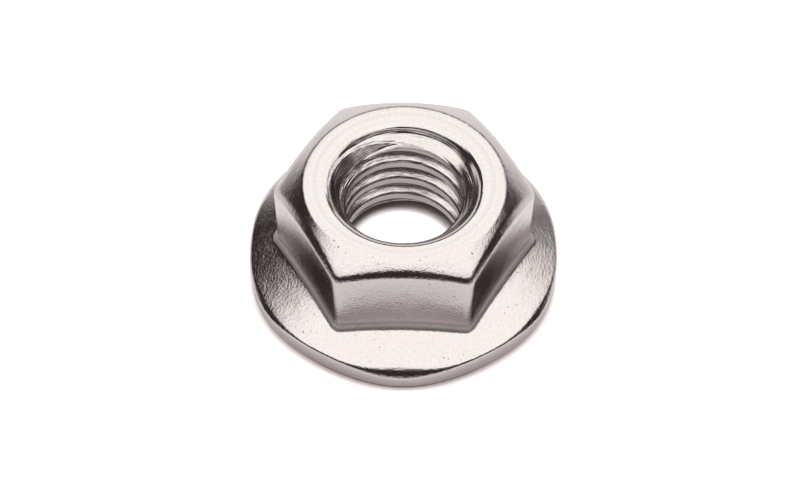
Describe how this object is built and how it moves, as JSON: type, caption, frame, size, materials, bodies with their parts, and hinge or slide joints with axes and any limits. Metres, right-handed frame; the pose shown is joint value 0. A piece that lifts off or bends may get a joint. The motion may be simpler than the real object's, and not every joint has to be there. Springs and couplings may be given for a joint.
{
  "type": "serrated flange nut",
  "caption": "Stainless hexagon nut on a broad round flange, with a threaded bore and a ring of ratchet serrations on its bearing face.",
  "frame": {"origin": "on the thread's axis, in the plane of the bearing face that the nut seats on", "axes": "+Z along the thread's axis, from the flange to the hexagon's top; +Y and -Y square to two of the hexagon's flats"},
  "size_m": [0.0176, 0.018, 0.0068],
  "materials": {
    "steel": "bright, lightly pitted stainless steel as forged, with a turned top face"
  },
  "bodies": {
    "root": {"serrated_flange_nut": "steel"}
  },
  "joints": []
}
